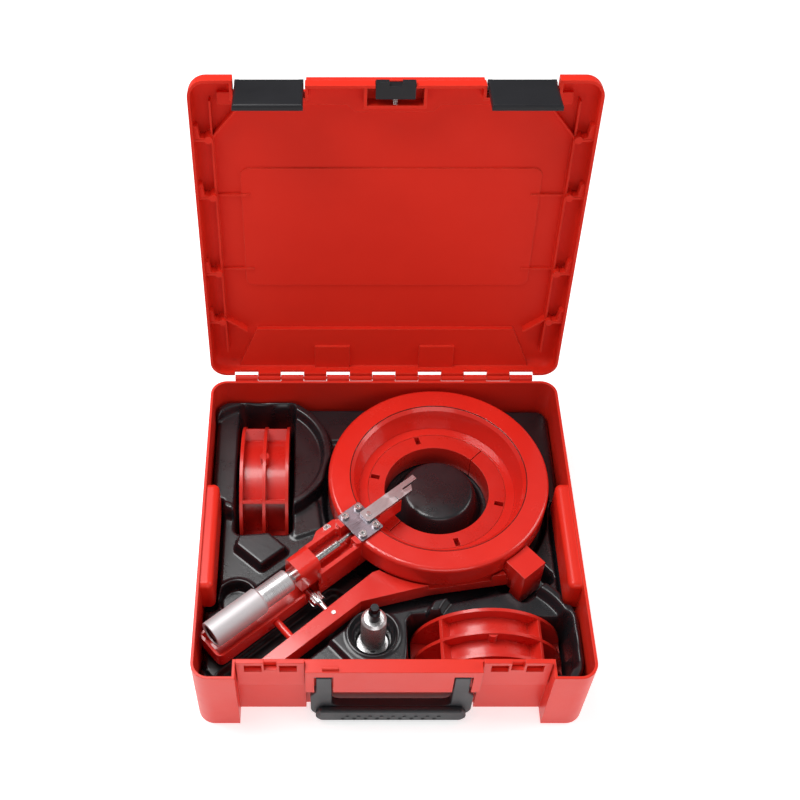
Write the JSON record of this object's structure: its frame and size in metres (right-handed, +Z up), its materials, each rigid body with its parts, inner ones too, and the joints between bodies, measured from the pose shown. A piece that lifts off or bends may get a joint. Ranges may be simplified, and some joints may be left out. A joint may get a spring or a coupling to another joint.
{
  "type": "pipe cutter kit",
  "caption": "Rotary pipe cutting and bevelling tool with clamp ring, feed spindle, spare reducing shells and drive adapter, in a latched carrying case.",
  "frame": {"origin": "centre of the case's underside", "axes": "+Z up, +Y to the hinge side of the case, +X to the right as seen from the handle"},
  "size_m": [0.44, 0.4987, 0.5282],
  "materials": {
    "case_plastic": "satin moulded ABS with a fine grain",
    "dark_plastic": "fine matt texture",
    "tray_plastic": "thermoformed sheet with a soft gloss",
    "red_casting": "light alloy casting under red gloss coat",
    "shell_plastic": "red moulded nylon",
    "steel": "ground",
    "bright_steel": "bright plated",
    "grip_aluminium": "bead blasted",
    "turned_aluminium": "turned bright",
    "black_steel": "blackened"
  },
  "bodies": {
    "case": {"case_base": "case_plastic", "hinge_pin": "steel", "handle_pin_left": "steel", "handle_pin_right": "steel", "insert_tray": "tray_plastic"},
    "handle": {"carry_handle": "dark_plastic"},
    "lid": {"case_lid": "case_plastic", "latch_pin_left": "steel", "latch_pin_right": "steel", "catch_spring": "bright_steel"},
    "latch_left": {"latch_left": "dark_plastic"},
    "latch_right": {"latch_right": "dark_plastic"},
    "catch": {"center_catch": "dark_plastic"},
    "clamp": {"clamp_body": "red_casting", "jaw_hinge_pin": "steel", "insert_half_rear": "shell_plastic", "insert_half_front": "shell_plastic"},
    "jaw": {"swing_jaw": "red_casting", "bolt_pin": "bright_steel", "stop_bar": "red_casting"},
    "bolt": {"swing_bolt": "bright_steel"},
    "nut": {"clamping_nut": "bright_steel"},
    "rotor": {"rotor_ring": "red_casting", "rotor_liner": "red_casting", "guide_plate": "steel", "guide_plate_screws": "bright_steel", "arm_screw": "bright_steel", "spindle_neck": "bright_steel", "scale_barrel": "turned_aluminium"},
    "slide": {"blade_slide": "red_casting", "cutting_blade": "steel", "chamfer_blade": "steel", "blade_rivet": "bright_steel"},
    "grip": {"feed_spindle": "bright_steel", "grip_sleeve": "grip_aluminium", "grip_end_cap": "black_steel"},
    "spare_left": {"spare_shell_left": "shell_plastic"},
    "spare_right": {"spare_shell_right": "shell_plastic"},
    "adapter": {"adapter_body": "steel", "adapter_collar": "bright_steel", "adapter_bit": "black_steel", "adapter_set_screw": "black_steel"}
  },
  "joints": [
    {"name": "lid_hinge", "type": "hinge", "parent": "case", "child": "lid", "pos_m": [0, 0.2106, 0.116], "axis": [1, 0, 0], "range_deg": [0, 98.4]},
    {"name": "latch_left_hinge", "type": "hinge", "parent": "lid", "child": "latch_left", "pos_m": [-0.1335, 0.28047, 0.51113], "axis": [-1, 0, 0], "range_deg": [0, 95]},
    {"name": "latch_right_hinge", "type": "hinge", "parent": "lid", "child": "latch_right", "pos_m": [0.1335, 0.28047, 0.51113], "axis": [-1, 0, 0], "range_deg": [0, 95]},
    {"name": "catch_press", "type": "slide", "parent": "lid", "child": "catch", "axis": [0, -0.1461, -0.9893], "range_m": [0, 0.004], "stiffness_N_per_m": 300, "springref_m": -0.003, "deforming": ["catch_spring"]},
    {"name": "handle_hinge", "type": "hinge", "parent": "case", "child": "handle", "pos_m": [0, -0.1923, 0.096], "axis": [-1, 0, 0], "range_deg": [0, 95]},
    {"name": "tool_lift", "type": "slide", "parent": "case", "child": "clamp", "axis": [0, 0, -1], "range_m": [-0.22, 0]},
    {"name": "ring_turn", "type": "hinge", "parent": "clamp", "child": "rotor", "pos_m": [0.062, 0.062, 0.08], "axis": [0, 0, 1], "range_deg": [0, 3]},
    {"name": "jaw_hinge", "type": "hinge", "parent": "clamp", "child": "jaw", "pos_m": [0.15649, -0.05061, 0.06], "axis": [0, 0, 1], "range_deg": [0, 0.8]},
    {"name": "bolt_swing", "type": "hinge", "parent": "jaw", "child": "bolt", "pos_m": [-0.06495, -0.10718, 0.068], "axis": [0, 0, 1], "range_deg": [-1.5, 1.5]},
    {"name": "nut_spin", "type": "hinge", "parent": "bolt", "child": "nut", "pos_m": [-0.06495, -0.10718, 0.068], "axis": [0.6428, -0.766, 0], "continuous": true},
    {"name": "grip_spin", "type": "hinge", "parent": "slide", "child": "grip", "pos_m": [-0.20118, -0.14708, 0.101], "axis": [0.766, 0.6428, 0], "range_deg": [-360, 2520]},
    {"name": "blade_feed", "type": "slide", "parent": "rotor", "child": "slide", "axis": [0.766, 0.6428, 0], "range_m": [-0.004, 0.028]},
    {"name": "spare_left_lift", "type": "slide", "parent": "case", "child": "spare_left", "axis": [0, 0, -1], "range_m": [-0.18, 0]},
    {"name": "spare_right_lift", "type": "slide", "parent": "case", "child": "spare_right", "axis": [0, 0, -1], "range_m": [-0.18, 0]},
    {"name": "adapter_lift", "type": "slide", "parent": "case", "child": "adapter", "axis": [0, 0, -1], "range_m": [-0.12, 0]}
  ],
  "couplings": [
    {"joint": "grip_spin", "follows": "blade_feed", "rad_per_m": 1570.8}
  ]
}
